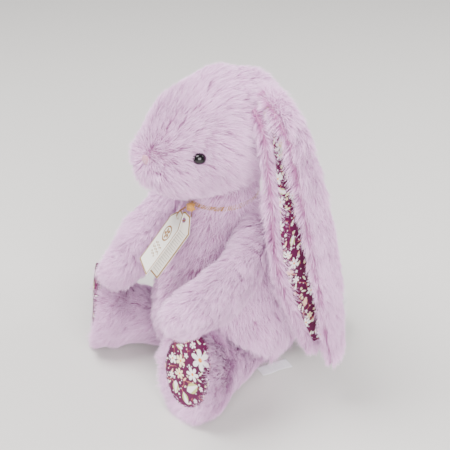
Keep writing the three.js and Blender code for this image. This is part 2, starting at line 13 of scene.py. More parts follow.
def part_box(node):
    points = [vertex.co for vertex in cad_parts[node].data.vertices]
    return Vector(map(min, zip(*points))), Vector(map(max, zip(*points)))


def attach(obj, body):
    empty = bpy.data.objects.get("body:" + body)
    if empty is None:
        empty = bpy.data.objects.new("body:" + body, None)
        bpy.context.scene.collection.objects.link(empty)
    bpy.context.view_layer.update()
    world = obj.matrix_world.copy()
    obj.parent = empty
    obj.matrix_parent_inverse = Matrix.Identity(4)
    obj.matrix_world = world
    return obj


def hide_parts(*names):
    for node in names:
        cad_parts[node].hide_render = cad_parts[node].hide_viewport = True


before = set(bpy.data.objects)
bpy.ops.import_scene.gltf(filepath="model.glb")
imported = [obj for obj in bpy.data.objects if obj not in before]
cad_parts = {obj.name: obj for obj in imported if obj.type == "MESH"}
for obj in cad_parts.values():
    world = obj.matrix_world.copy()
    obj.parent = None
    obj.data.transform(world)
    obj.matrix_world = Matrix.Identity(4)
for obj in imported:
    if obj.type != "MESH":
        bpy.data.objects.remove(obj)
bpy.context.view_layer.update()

SIDES = (("left", 1), ("right", -1))
MM = 0.001
MAP_NAME = "OFBake"  # the flat map of every piece that has one

# ---------------------------------------------------------------- camera, floor and light

CAMERA_PLACE = Vector((0.4398, -0.3438, 0.4414))
CAMERA_TURN = (math.radians(59), 0.0, math.radians(52))
CAMERA_LENS = 75.3
SENSOR_WIDTH = 36
FLOOR_HALF = 4
FLOOR_COLOUR = (0.62, 0.6, 0.57, 1)
ROOM_COLOUR = (0.95, 0.95, 1.0, 1)
ROOM_STRENGTH = 0.5
LIGHT_AIM = Vector((0, 0, 0.1))
LIGHTS = (  # name, place, size, power in watts
    ("key", (-0.3, -0.35, 1.15), 0.6, 26),
    ("fill", (1.0, -0.55, 0.7), 1.0, 32),
    ("rim", (0.3, 0.9, 0.8), 0.7, 12),
)


def set_stage():
    """The camera, a pale floor, and three lights: high on the rabbit's right, on its left and behind."""
    scene = bpy.context.scene
    camera = bpy.data.objects.new("camera", bpy.data.cameras.new("camera"))
    camera.data.lens = CAMERA_LENS
    camera.data.sensor_width = SENSOR_WIDTH
    camera.location = CAMERA_PLACE
    camera.rotation_euler = CAMERA_TURN
    scene.collection.objects.link(camera)
    scene.camera = camera

    mesh = bpy.data.meshes.new("floor")
    form = bmesh.new()
    bmesh.ops.create_grid(form, x_segments=1, y_segments=1, size=FLOOR_HALF)
    form.to_mesh(mesh)
    form.free()
    floor = bpy.data.objects.new("floor", mesh)
    scene.collection.objects.link(floor)
    ground = bpy.data.materials.new("floor")
    ground.use_nodes = True
    base = ground.node_tree.nodes["Principled BSDF"]
    base.inputs["Base Color"].default_value = FLOOR_COLOUR
    base.inputs["Roughness"].default_value = 0.8
    mesh.materials.append(ground)

    for name, place, size, power in LIGHTS:
        lamp = bpy.data.lights.new(name, "AREA")
        lamp.size = size
        lamp.energy = power
        lamp_object = bpy.data.objects.new(name, lamp)
        lamp_object.location = place
        lamp_object.rotation_euler = (LIGHT_AIM - Vector(place)).to_track_quat("-Z", "Y").to_euler()
        scene.collection.objects.link(lamp_object)
    world = bpy.data.worlds.new("room")
    world.use_nodes = True
    backdrop = world.node_tree.nodes["Background"]
    backdrop.inputs["Color"].default_value = ROOM_COLOUR
    backdrop.inputs["Strength"].default_value = ROOM_STRENGTH
    scene.world = world


set_stage()

# ---------------------------------------------------------------- materials


def colour(red, green, blue):
    """A linear colour from the eight-bit values of a paint card."""
    shares = (red / 255, green / 255, blue / 255)
    linear = [c / 12.92 if c <= 0.04045 else ((c + 0.055) / 1.055) ** 2.4 for c in shares]
    return (*linear, 1.0)


def plug(tree, entry, value):
    """A wire into a socket, or a plain value set on it."""
    if isinstance(value, Wire):
        tree.links.new(value.socket, entry)
    else:
        entry.default_value = value


class Wire:
    """A value in a material, used in plain arithmetic."""

    def __init__(self, tree, socket):
        self.tree = tree
        self.socket = socket

    def math(self, operation, *others):
        return self.combine(operation, self, *others)

    def combine(self, operation, *values):
        node = self.tree.nodes.new("ShaderNodeMath")
        node.operation = operation
        for entry, value in zip(node.inputs, values):
            plug(self.tree, entry, value)
        return Wire(self.tree, node.outputs[0])

    def __add__(self, other):
        return self.combine("ADD", self, other)

    def __sub__(self, other):
        return self.combine("SUBTRACT", self, other)

    def __rsub__(self, other):
        return self.combine("SUBTRACT", other, self)

    def __mul__(self, other):
        return self.combine("MULTIPLY", self, other)

    def __truediv__(self, other):
        return self.combine("DIVIDE", self, other)

    def __pow__(self, other):
        return self.combine("POWER", self, other)

    def __gt__(self, other):
        return self.combine("GREATER_THAN", self, other)

    def __lt__(self, other):
        return self.combine("LESS_THAN", self, other)

    def clamp(self):
        return self.math("MINIMUM", 1.0).math("MAXIMUM", 0.0)


class Paint:
    """A material being made: its tree, its surface shader, and one way to make a node."""

    def __init__(self, name, roughness=0.8, **uniform):
        self.material = bpy.data.materials.new(name)
        self.material.use_nodes = True
        self.tree = self.material.node_tree
        self.surface = self.tree.nodes["Principled BSDF"]
        self.surface.inputs["Roughness"].default_value = roughness
        for entry, value in uniform.items():
            self.surface.inputs[entry.replace("_", " ")].default_value = value

    def make(self, kind, settings=None, output=0, **inputs):
        """One output of a new node; its settings come first, because they decide its sockets."""
        node = self.tree.nodes.new("ShaderNode" + kind)
        for key, value in (settings or {}).items():
            setattr(node, key, value)
        for entry, value in inputs.items():
            plug(self.tree, node.inputs[entry], value)
        if isinstance(output, (tuple, list)):
            return [Wire(self.tree, node.outputs[o]) for o in output]
        return Wire(self.tree, node.outputs[output])

    def mix(self, share, low, high, blend="MIX"):
        """Two colours mixed; the node's colour sockets share names, so they go by number."""
        node = self.tree.nodes.new("ShaderNodeMix")
        node.data_type = "RGBA"
        node.blend_type = blend
        for entry, value in ((0, share), (6, low), (7, high)):
            plug(self.tree, node.inputs[entry], value)
        return Wire(self.tree, node.outputs[2])

    def uv(self):
        """The piece's own flat coordinates, as two values."""
        place = self.make("UVMap", {"uv_map": MAP_NAME}, "UV")
        return self.make("SeparateXYZ", None, ("X", "Y"), Vector=place)

    def value(self, amount):
        """A plain number as a wire."""
        node = self.tree.nodes.new("ShaderNodeValue")
        node.outputs[0].default_value = amount
        return Wire(self.tree, node.outputs[0])

    def place(self, x, y):
        return self.make("CombineXYZ", None, 0, X=x, Y=y)

    def noise(self, scale, detail=2.0, vector=None):
        where = vector or self.make("TexCoord", None, "Object")
        return self.make("TexNoise", None, "Fac", Vector=where, Scale=scale, Detail=detail)

    def threads(self, scale, distortion):
        """Parallel threads, from 0 to 1 across each."""
        where = self.make("TexCoord", None, "Object")
        return self.make("TexWave", None, "Fac", Vector=where, Scale=scale, Distortion=distortion)

    def bump(self, height, strength, distance=0.0005):
        normal = self.make("Bump", None, 0, Height=height, Strength=strength, Distance=distance)
        plug(self.tree, self.surface.inputs["Normal"], normal)

    def finish(self, base):
        plug(self.tree, self.surface.inputs["Base Color"], base)
        return self.material


TONE_DARK = (0.78, 0.7, 0.76, 1)  # what the darkest and palest strands are multiplied by
TONE_PALE = (1.14, 1.12, 1.14, 1)


def pile_material(name, root, body, tip):
    """Combed pile: its map runs across by each strand's tone, and up from root to tip."""
    paint = Paint(name, 0.9, Sheen_Weight=0.12, Sheen_Roughness=0.5, Specular_IOR_Level=0.25)
    tone, along = paint.uv()
    # Dark at the root and pale at the tip: partly the pile's own colour, partly painted shade deep in
    # the pile and painted highlight on the tips.
    strand = paint.mix((along * 1.6).clamp(), root, body)
    strand = paint.mix((along * 1.7 - 0.75).clamp(), strand, tip)
    return paint.finish(paint.mix(1.0, strand, paint.mix(tone, TONE_DARK, TONE_PALE), "MULTIPLY"))


def skin_material(name, deep, pale):
    """The knitted backing between the strands."""
    paint = Paint(name, 0.95)
    mottle = paint.noise(180.0, 3.0)
    paint.bump(paint.noise(1400.0, 2.0), 0.4)
    return paint.finish(paint.mix(mottle, deep, pale))


# Root, body and tip colours of each pile: the darker roots and paler tips are partly painted shade and
# painted highlight over the body's own colour.
LILAC_PILE = pile_material(
    "lilac_pile", colour(170, 88, 146), colour(232, 180, 225), colour(251, 224, 248)
)
WHITE_PILE = pile_material(
    "white_pile", colour(216, 212, 217), colour(240, 238, 241), colour(250, 249, 250)
)
LILAC_SKIN = skin_material("lilac_backing", colour(166, 98, 144), colour(200, 140, 182))
WHITE_SKIN = skin_material("white_backing", colour(206, 200, 206), colour(232, 228, 232))

# Flowered cotton. Its map is a flat piece of cloth this wide; all sizes below are millimetres on it.
CLOTH = 240.0
PETAL_WHITE = colour(246, 241, 240)
PETAL_CREAM = colour(246, 228, 186)
PETAL_PEACH = colour(240, 182, 150)
HEART_ORANGE = colour(232, 140, 36)
LEAF_GREEN = colour(190, 192, 118)
STEM_PEACH = colour(206, 120, 100)
GROUND_DARK = colour(66, 2, 42)
GROUND_LIGHT = colour(98, 6, 68)
FULL_TURN = 6.28
HEART = 0.22  # a flower's heart, as a share of its radius
STEM_SPACING = 10.0
STEM_WANDER = 7.0
STEM_WIDTH = 0.022
DOT_SPACING = 3.4
DOT_RADIUS = 0.5
TINTED = 0.75  # the random tint above which a flower or leaf takes its second colour
BUD_TURN = 0.6
BUD_BREADTH = 0.62


def flower(x, y, turn, size, petals, slim=0.2):
    """(petals, heart) of a flower about x = y = 0, each from 0 to 1."""
    reach = (x * x + y * y) ** 0.5 / size
    angle = y.math("ARCTAN2", x) + turn
    edge = (angle * (petals / 2)).math("COSINE").math("ABSOLUTE") ** 0.75 * (1 - slim) + slim
    return ((edge - reach) * size * 3).clamp(), ((HEART - reach) * size * 3).clamp()


def leaf(x, y, turn, long, wide):
    """(blade, edges) of a pointed leaf or bud about x = y = 0."""
    cosine = turn.math("COSINE")
    sine = turn.math("SINE")
    down = (x * cosine + y * sine) / long
    across = (y * cosine - x * sine) / wide
    blade = ((1.0 - down * down - across.math("ABSOLUTE")) * 6).clamp()
    edges = ((across.math("ABSOLUTE") + down * 0.35 - 0.34) * 6).clamp()
    return blade, edges


def scattered(paint, x, y, spacing, shift):
    """Each place's offset from the nearest of many scattered spots, and that spot's three chances."""
    moved_x = x + shift
    moved_y = y + shift * 1.7
    where = paint.place(moved_x, moved_y)
    chance, spot = paint.make(
        "TexVoronoi",
        {"voronoi_dimensions": "2D", "feature": "F1"},
        ("Color", "Position"),
        Vector=where,
        Scale=1.0 / spacing,
        Randomness=0.75,
    )
    spot_x, spot_y = paint.make("SeparateXYZ", None, ("X", "Y"), Vector=spot)
    first, second, third = paint.make("SeparateColor", None, (0, 1, 2), Color=chance)
    return moved_x - spot_x, moved_y - spot_y, first, second, third


# The scattered pieces of the print: spacing and shift, then a leaf's half length and half width, or a
# flower's radius and number of petals, and the share of spots left empty.
LEAVES = ((6.5, 11.0, 2.4, 0.9, 0.4), (12.0, 53.0, 4.0, 2.0, 0.5))
FLOWERS = ((15.0, 17.0, 4.2, 6, 0.5), (10.5, 131.0, 3.0, 6, 0.45), (5.6, 90.0, 1.4, 5, 0.5))
SMALL_LEAVES = ((6.5, 11.0, 2.2, 0.8, 0.65),)
SMALL_FLOWERS = ((5.6, 90.0, 1.1, 5, 0.7),)


def print_material(name, leaves, flowers, motifs=()):
    """Printed cotton: stems, leaves, flowers and dots scattered on a deep ground, then motifs."""
    paint = Paint(name, 0.8, Sheen_Weight=0.08, Specular_IOR_Level=0.25)
    across, up = paint.uv()
    x = across * CLOTH
    y = up * CLOTH
    flat = paint.place(x, y)
    cloth = paint.mix(paint.noise(0.05, 2.0, flat), GROUND_DARK, GROUND_LIGHT)
    wander_x = paint.noise(0.12, 1.0, flat) * STEM_WANDER
    wander_y = paint.noise(0.1, 1.0, paint.place(y + 40.0, x)) * STEM_WANDER
    lines = paint.make(
        "TexVoronoi",
        {"voronoi_dimensions": "2D", "feature": "DISTANCE_TO_EDGE"},
        "Distance",
        Vector=paint.place(x + wander_x, y + wander_y),
        Scale=1 / STEM_SPACING,
        Randomness=1.0,
    )
    broken = ((paint.noise(0.14, 1.0, paint.place(x, y + 90.0)) - 0.5) * 20).clamp()
    cloth = paint.mix(((STEM_WIDTH - lines) * 90).clamp() * broken, cloth, STEM_PEACH)
    for spacing, shift, long, wide, cut in leaves:
        dx, dy, chance, turn, tint = scattered(paint, x, y, spacing, shift)
        blade, edges = leaf(dx, dy, turn * FULL_TURN, long, wide)
        fill = paint.mix(edges, PETAL_WHITE, LEAF_GREEN)
        fill = paint.mix((tint > TINTED) * 0.8, fill, PETAL_PEACH)
        cloth = paint.mix(blade * (chance > cut), cloth, fill)
    for spacing, shift, size, petals, cut in flowers:
        dx, dy, chance, turn, tint = scattered(paint, x, y, spacing, shift)
        petal, heart = flower(dx, dy, turn * FULL_TURN, size, petals)
        fill = paint.mix(tint > TINTED, PETAL_WHITE, PETAL_CREAM)
        cloth = paint.mix(petal * (chance > cut), cloth, fill)
        cloth = paint.mix(heart * (chance > cut), cloth, HEART_ORANGE)
    dx, dy, chance = scattered(paint, x, y, DOT_SPACING, 71.0)[:3]
    dot = ((DOT_RADIUS - (dx * dx + dy * dy) ** 0.5) * 6).clamp()
    cloth = paint.mix(dot * (chance > 0.6), cloth, PETAL_WHITE)
    for place_x, place_y, size, petals, fill, second_fill in motifs:
        dx = x - place_x
        dy = y - place_y
        if petals:
            petal, heart = flower(dx, dy, place_x, size, petals, 0.28)
            cloth = paint.mix(petal, cloth, fill)
            cloth = paint.mix(heart, cloth, second_fill)
        else:
            blade, edges = leaf(dx, dy, paint.value(place_x + BUD_TURN), size, size * BUD_BREADTH)
            cloth = paint.mix(blade, cloth, paint.mix(edges, fill, second_fill))
    weave = (x * 14.0).math("SINE") * (y * 14.0).math("SINE")
    paint.bump(weave, 0.25, 0.0002)
    return paint.finish(cloth)


def satin_material(name, base, glint, rib):
    """Ribbon or label satin with fine ribs across it."""
    paint = Paint(name, 0.38, Sheen_Weight=0.3, Specular_IOR_Level=0.6)
    threads = paint.threads(rib, 1.5)
    paint.bump(threads, 0.35, 0.0002)
    return paint.finish(paint.mix(threads * 0.5 + paint.noise(300.0) * 0.5, base, glint))


GOLD_SATIN = satin_material("gold_satin", colour(160, 102, 24), colour(214, 156, 62), 900.0)
WHITE_SATIN = satin_material("white_satin", colour(218, 214, 222), colour(246, 244, 248), 700.0)


def bead_material():
    """Polished black bead with faint handling marks."""
    paint = Paint("bead", 0.08, Coat_Weight=0.25, Coat_Roughness=0.05, Specular_IOR_Level=0.35)
    plug(paint.tree, paint.surface.inputs["Roughness"], paint.noise(900.0, 3.0) * 0.12 + 0.04)
    return paint.finish(paint.mix(paint.noise(500.0), colour(4, 3, 5), colour(14, 10, 12)))


def stitched_material():
    """Satin stitch of the nose: close parallel threads."""
    paint = Paint("nose_stitch", 0.6, Sheen_Weight=0.3)
    threads = paint.threads(700.0, 0.6)
    paint.bump(threads, 0.6, 0.0004)
    # Each thread paler along its crest and darker in the grooves between threads: painted sheen and
    # painted shade.
    return paint.finish(paint.mix(threads, colour(176, 108, 130), colour(222, 164, 180)))


def washer_material(name, low, high):
    """Moulded plastic, a little mottled."""
    paint = Paint(name, 0.9)
    paint.bump(paint.noise(500.0, 3.0), 0.4)
    return paint.finish(paint.mix(paint.noise(90.0, 3.0), low, high))


BEAD = bead_material()
STITCH = stitched_material()

# ---------------------------------------------------------------- mesh helpers


def new_object(name, mesh):
    made = bpy.data.objects.new(name, mesh)
    bpy.context.scene.collection.objects.link(made)
    return made


def mesh_of(name, form, smooth=True):
    """A mesh made from a finished form, which goes."""
    mesh = bpy.data.meshes.new(name)
    form.to_mesh(mesh)
    form.free()
    mesh.polygons.foreach_set("use_smooth", [smooth] * len(mesh.polygons))
    return mesh


def finished(piece, mesh, material, body, nodes=()):
    """A finished piece: its material, the CAD nodes it stands for, and its body."""
    mesh.materials.clear()
    mesh.materials.append(material)
    made = new_object(piece, mesh)
    if nodes:
        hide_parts(*nodes)
    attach(made, body)
    return made


def applied(source):
    """The object's mesh with its modifiers applied, as a plain new mesh; the source object goes."""
    graph = bpy.context.evaluated_depsgraph_get()
    mesh = bpy.data.meshes.new_from_object(source.evaluated_get(graph))
    bpy.data.objects.remove(source)
    return mesh


def relax(form, rounds):
    for _ in range(rounds):
        bmesh.ops.smooth_vert(
            form, verts=form.verts, factor=0.5, use_axis_x=True, use_axis_y=True, use_axis_z=True
        )


def largest_island(form):
    """Deletes everything but the piece of mesh with the most vertices."""
    left = set(form.verts)
    islands = []
    while left:
        stack = [left.pop()]
        island = set(stack)
        while stack:
            for edge in stack.pop().link_edges:
                for vert in edge.verts:
                    if vert in left:
                        left.discard(vert)
                        island.add(vert)
                        stack.append(vert)
        islands.append(island)
    islands.sort(key=len, reverse=True)
    spare = [vert for island in islands[1:] for vert in island]
    bmesh.ops.delete(form, geom=spare, context="VERTS")


def soft_form(name, nodes, voxel, inset, rounds):
    """One smooth closed skin round some CAD nodes, drawn in so that the pile ends where they do."""
    form = bmesh.new()
    for node in nodes:
        form.from_mesh(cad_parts[node].data)
    work = new_object(name, mesh_of(name, form))
    remesh = work.modifiers.new("voxels", "REMESH")
    remesh.mode = "VOXEL"
    remesh.voxel_size = voxel
    mesh = applied(work)
    form = bmesh.new()
    form.from_mesh(mesh)
    largest_island(form)
    relax(form, rounds)
    form.normal_update()
    for vert in form.verts:
        vert.co -= vert.normal * inset
    relax(form, 2)
    return mesh_of(name, form)


def arrays(mesh):
    """(vertex places, vertex normals, triangles) of a mesh, as arrays."""
    mesh.calc_loop_triangles()
    places = np.empty(len(mesh.vertices) * 3)
    mesh.vertices.foreach_get("co", places)
    normals = np.empty(len(mesh.vertices) * 3)
    mesh.vertices.foreach_get("normal", normals)
    corners = np.empty(len(mesh.loop_triangles) * 3, dtype=np.int64)
    mesh.loop_triangles.foreach_get("vertices", corners)
    return places.reshape(-1, 3), normals.reshape(-1, 3), corners.reshape(-1, 3)


def unit(vectors):
    length = np.linalg.norm(vectors, axis=1, keepdims=True)
    return vectors / np.maximum(length, 1e-9)


def sow(mesh, count, seed):
    """(roots, normals) of strands sown evenly over a mesh."""
    places, normals, corners = arrays(mesh)
    rng = np.random.default_rng(seed)
    a, b, c = (places[corners[:, i]] for i in range(3))
    area = np.linalg.norm(np.cross(b - a, c - a), axis=1)
    pick = rng.choice(len(area), size=count, p=area / area.sum())
    u, v = rng.random(count), rng.random(count)
    fold = u + v > 1
    u[fold], v[fold] = 1 - u[fold], 1 - v[fold]
    w = 1 - u - v
    chosen = corners[pick]

    def spread(values):
        corner = [values[chosen[:, i]] for i in range(3)]
        return corner[0] * w[:, None] + corner[1] * u[:, None] + corner[2] * v[:, None]

    return spread(places), unit(spread(normals))


WAVES = np.random.default_rng(5)
WAVE_TURNS = WAVES.normal(size=(3, 10, 3))
WAVE_STARTS = WAVES.random((3, 10)) * FULL_TURN


def wander(points, scale):
    """A smooth random vector at each point; scale is the size of its swirls in metres."""
    field = np.zeros_like(points)
    for axis in range(3):
        for turn, start in zip(WAVE_TURNS[axis], WAVE_STARTS[axis]):
            field[:, axis] += np.sin(points @ turn / scale + start)
    return field / 3.0


def tufts(roots, spacing):
    """The centre of the tuft that each strand gathers to: the nearest of one jittered point a cell."""
    cell = np.floor(roots / spacing).astype(np.int64)
    best = np.full(len(roots), np.inf)
    centre = roots.copy()
    for step in np.ndindex(3, 3, 3):
        near = cell + np.array(step) - 1
        mixed = (near[:, 0] * 73856093) ^ (near[:, 1] * 19349663) ^ (near[:, 2] * 83492791)
        jitter = np.stack([((mixed * k) % 1009) / 1009.0 for k in (7919, 104729, 1299709)], axis=1)
        point = (near + jitter) * spacing
        away = ((point - roots) ** 2).sum(axis=1)
        closer = away < best
        best[closer] = away[closer]
        centre[closer] = point[closer]
    return centre


# A strand is a blade of five corners and two faces: a four-sided foot and a three-sided tip.
STRAND_LOOPS = np.array([0, 1, 3, 2, 2, 3, 4])
STRAND_ACROSS = np.array([0, 1, 1, 0, 0, 1, 0.5])
STRAND_ALONG = np.array([0.02, 0.02, 0.55, 0.55, 0.55, 0.55, 0.98])
STRAND_WIDTH = 0.14 * MM
STRAND_SPLAY = 0.55
STRAND_BEND = 0.48  # where along its length a strand bends over
ROOT_DEPTH = 0.6 * MM
FLOOR_ROOM = 0.3 * MM
SMALL_SWIRL, LARGE_SWIRL = (7 * MM, 0.24), (22 * MM, 0.26)  # size and strength
CLUMP = (5 * MM, 0.16)
SMALL_PATCH, LARGE_PATCH = (6 * MM, 0.12), (16 * MM, 0.1)
TUFT = 5.5 * MM


def flat_on(vectors, normals):
    """The vectors with what points along the normals taken out."""
    return vectors - normals * (vectors * normals).sum(axis=1, keepdims=True)


def grow(name, roots, normals, comb, length, material, seed, lean=0.58, gather=0.34):
    """A pile piece: each strand rises from its root, then lies over along the comb to its tuft."""
    rng = np.random.default_rng(seed)
    count = len(roots)
    swirls = [wander(roots, scale) * strength for scale, strength in (SMALL_SWIRL, LARGE_SWIRL)]
    flow = comb + swirls[0] + swirls[1] + rng.normal(size=(count, 3)) * 0.2
    flow = unit(flat_on(flow, normals))
    clump = 1.0 + CLUMP[1] * wander(roots, CLUMP[0])[:, 0]
    size = (length * clump * (0.7 + 0.55 * rng.random(count)))[:, None]
    rise = (1 - lean) * (0.8 + 0.5 * rng.random(count))[:, None]
    draw = flat_on(tufts(roots, TUFT) - roots, normals) * gather
    bend_way = unit(normals * (0.35 + rise) + flow * lean)
    tip_way = unit(normals * rise * 0.75 + flow)
    bend = roots + bend_way * size * STRAND_BEND + draw * 0.4
    tip = bend + tip_way * size * (1 - STRAND_BEND) + draw
    splay = rng.normal(size=(count, 3)) * STRAND_SPLAY * size
    side = unit(np.cross(tip - roots, normals) + splay)
    side = side * (STRAND_WIDTH * (0.75 + 0.5 * rng.random(count)))[:, None]
    foot = roots - normals * ROOT_DEPTH
    corners = np.stack([foot - side, foot + side, bend - side, bend + side, tip], axis=1)
    corners[:, :, 2] = np.maximum(corners[:, :, 2], FLOOR_ROOM)
    loops = STRAND_LOOPS[None, :] + np.arange(count)[:, None] * 5
    starts = np.stack([np.arange(count) * 7, np.arange(count) * 7 + 4], axis=1)
    mesh = bpy.data.meshes.new(name)
    mesh.vertices.add(count * 5)
    mesh.vertices.foreach_set("co", corners.reshape(-1).astype(np.float32))
    mesh.loops.add(count * 7)
    mesh.loops.foreach_set("vertex_index", loops.reshape(-1).astype(np.int32))
    mesh.polygons.add(count * 2)
    mesh.polygons.foreach_set("loop_start", starts.reshape(-1).astype(np.int32))
    small = wander(roots, SMALL_PATCH[0])[:, 1] * SMALL_PATCH[1]
    large = wander(roots, LARGE_PATCH[0])[:, 0] * LARGE_PATCH[1]
    tone = np.clip(0.5 + small + large + rng.normal(size=count) * 0.2, 0.01, 0.98)
    across = tone[:, None] + STRAND_ACROSS[None, :] * 0.004
    along = np.broadcast_to(STRAND_ALONG, (count, 7))
    flat_map = np.stack([across, along], axis=2)
    layer = mesh.uv_layers.new(name=MAP_NAME)
    layer.data.foreach_set("uv", flat_map.reshape(-1).astype(np.float32))
    mesh.update(calc_edges=True)
    mesh.polygons.foreach_set("use_smooth", np.ones(count * 2, dtype=bool))
    mesh.materials.append(material)
    return new_object(name, mesh)


def tree_of(mesh):
    form = bmesh.new()
    form.from_mesh(mesh)
    tree = BVHTree.FromBMesh(form)
    form.free()
    return tree


def add_pile(
    piece, mesh, count, seed, comb, length, material, body, slot="plush", keep=None, **habit
):
    """Sows and combs a pile piece on a skin; comb and keep take arrays of roots and normals."""
    roots, normals = sow(mesh, count, seed)
    if keep is not None:
        kept = keep(roots, normals)
        roots, normals = roots[kept], normals[kept]
    size = length(roots) if callable(length) else np.full(len(roots), length)
    pile = grow(piece, roots, normals, comb(roots, normals), size, material, seed + 1, **habit)
    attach(pile, body)


DENSITY = 1.0
STRANDS = 60000


def strands(share):
    return int(STRANDS * share * DENSITY)


def middle(node):
    low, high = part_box(node)
    return np.array([(a + b) / 2 for a, b in zip(low, high)])


# ---------------------------------------------------------------- torso and tail

TORSO_NODES = (
    "torso_front_panel", "torso_back_panel", "seat_patch", "torso_stuffing", "seat_bean_pouch",
)
PILE_INSET = 4.2 * MM
torso_mesh = soft_form("torso_skin", TORSO_NODES, 3.2 * MM, PILE_INSET, 8)
finished("torso_skin", torso_mesh, LILAC_SKIN, "body", TORSO_NODES)


def comb_down(roots, normals):
    down = np.zeros_like(roots)
    down[:, 2] = -1.0
    down[:, :2] += unit(roots)[:, :2] * 0.25
    return down


for half, seed, sign in (("front", 11, -1), ("back", 13, 1)):

    def on_half(roots, normals, sign=sign):
        behind = roots[:, 1] >= 0
        return (behind if sign > 0 else ~behind) & (roots[:, 2] > 1 * MM)

    add_pile(f"torso_pile_{half}", torso_mesh, strands(2.0), seed, comb_down, 9 * MM, LILAC_PILE,
             "body", keep=on_half)

TAIL_NODES = ("tail_cover", "tail_stuffing")
tail_mesh = soft_form("tail_skin", TAIL_NODES, 2.5 * MM, 5 * MM, 6)
finished("tail_skin", tail_mesh, WHITE_SKIN, "body", TAIL_NODES)


def comb_tail(roots, normals):
    return roots - middle("tail_cover")


add_pile("tail_pile", tail_mesh, strands(0.35), 17, comb_tail, 13 * MM, WHITE_PILE, "body", "fluff",
         lean=0.3, gather=0.6)

# ---------------------------------------------------------------- head

HEAD_NODES = ("head_left_panel", "head_right_panel", "head_stuffing")
head_mesh = soft_form("head_skin", HEAD_NODES, 3 * MM, PILE_INSET, 8)
NOSE_TIP = middle("nose")
EYE_MIDDLES = [middle(f"eye_{side}") for side, _ in SIDES]

# The face's folds and fullness, each with its depth and how far it fades out.
SEAM_DEPTH, SEAM_FADE = 0.8 * MM, 3 * MM
MOUTH_DEPTH, MOUTH_FADE_ACROSS, MOUTH_FADE_UP, MOUTH_BELOW_NOSE = 2.2 * MM, 4 * MM, 9 * MM, 16 * MM
FACE_DEPTH = 26 * MM  # the mouth's fold ends this far behind the nose
MUZZLE_FULLNESS, MUZZLE_FADE = 4.5 * MM, 14 * MM
MUZZLE_OUT, MUZZLE_BACK, MUZZLE_DOWN = 11 * MM, 7 * MM, 9 * MM  # each of its cheeks, from the nose
SOCKET_DEPTH, SOCKET_FADE = 1.2 * MM, 8 * MM


def fade(distance, reach):
    """1 in the middle, falling smoothly away past the reach."""
    return math.exp(-((distance / reach) ** 2))


def shape_face(mesh):
    """Pulls in the middle seam, the mouth and a socket round each eye, and fills out the muzzle."""
    _, nose_y, nose_z = NOSE_TIP
    for vert in mesh.vertices:
        spot = vert.co
        deep = fade(spot.x, SEAM_FADE) * SEAM_DEPTH
        if spot.y < nose_y + FACE_DEPTH:
            low = fade(spot.z - nose_z + MOUTH_BELOW_NOSE, MOUTH_FADE_UP)
            deep += fade(spot.x, MOUTH_FADE_ACROSS) * low * MOUTH_DEPTH
        cheek = Vector((math.copysign(MUZZLE_OUT, spot.x), nose_y + MUZZLE_BACK, nose_z - MUZZLE_DOWN))
        deep -= fade((spot - cheek).length, MUZZLE_FADE) * MUZZLE_FULLNESS
        for eye in EYE_MIDDLES:
            deep += fade((spot - Vector(eye)).length, SOCKET_FADE) * SOCKET_DEPTH
        vert.co = spot - vert.normal * deep


shape_face(head_mesh)
finished("head_skin", head_mesh, LILAC_SKIN, "head", HEAD_NODES)


def comb_head(roots, normals):
    """From the nose back over the crown, and down the cheeks."""
    flow = unit(roots - NOSE_TIP)
    away = np.linalg.norm(roots - NOSE_TIP, axis=1)
    flow[:, 2] -= np.clip(away / 0.06, 0, 1) * 0.55
    flow[:, 1] += 0.25
    return flow


def off_eyes(roots):
    keep = np.ones(len(roots), dtype=bool)
    for eye in EYE_MIDDLES:
        keep &= np.linalg.norm(roots - eye, axis=1) > 3.4 * MM
    return keep


def head_length(roots):
    """Strand lengths on the head: shorter at the nose, and much shorter round the eyes."""
    size = np.full(len(roots), 8.4 * MM)
    near_nose = np.linalg.norm(roots - NOSE_TIP, axis=1)
    size *= 0.95 + 0.1 * np.clip((near_nose - 8 * MM) / (35 * MM), 0, 1)
    for eye in EYE_MIDDLES:
        away = np.linalg.norm(roots - eye, axis=1)
        size *= 0.6 + 0.4 * np.clip((away - 4.5 * MM) / (9 * MM), 0, 1)
    return size


for side, sign in SIDES:

    def on_side(roots, normals, sign=sign):
        return (roots[:, 0] * sign > 0) & off_eyes(roots)

    add_pile(f"head_pile_{side}", head_mesh, strands(1.75), 23 + sign, comb_head, head_length,
             LILAC_PILE, "head", keep=on_side)

BEAD_RADIUS = 4.3 * MM
BEAD_SHAPE = (1.0, 0.86, 0.9)
BEAD_DEPTH = 0.9 * MM  # how far below the end of the CAD eye the bead ends
for side, _ in SIDES:
    washer = Vector(middle(f"eye_washer_{side}"))
    places = [vert.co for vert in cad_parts[f"eye_{side}"].data.vertices]
    tip = max(places, key=lambda spot: (spot - washer).length)
    out = (tip - washer).normalized()
    turn = out.to_track_quat("Z", "Y").to_matrix()
    form = bmesh.new()
    bmesh.ops.create_uvsphere(form, u_segments=40, v_segments=24, radius=BEAD_RADIUS)
    bmesh.ops.scale(form, vec=BEAD_SHAPE, verts=form.verts)
    bmesh.ops.rotate(form, matrix=turn, verts=form.verts)
    bmesh.ops.translate(form, vec=tip - out * (BEAD_RADIUS + BEAD_DEPTH), verts=form.verts)
    bead_mesh = mesh_of(f"eye_{side}_bead", form)
    finished(f"eye_{side}_bead", bead_mesh, BEAD, "head", (f"eye_{side}",))

# ---------------------------------------------------------------- arms

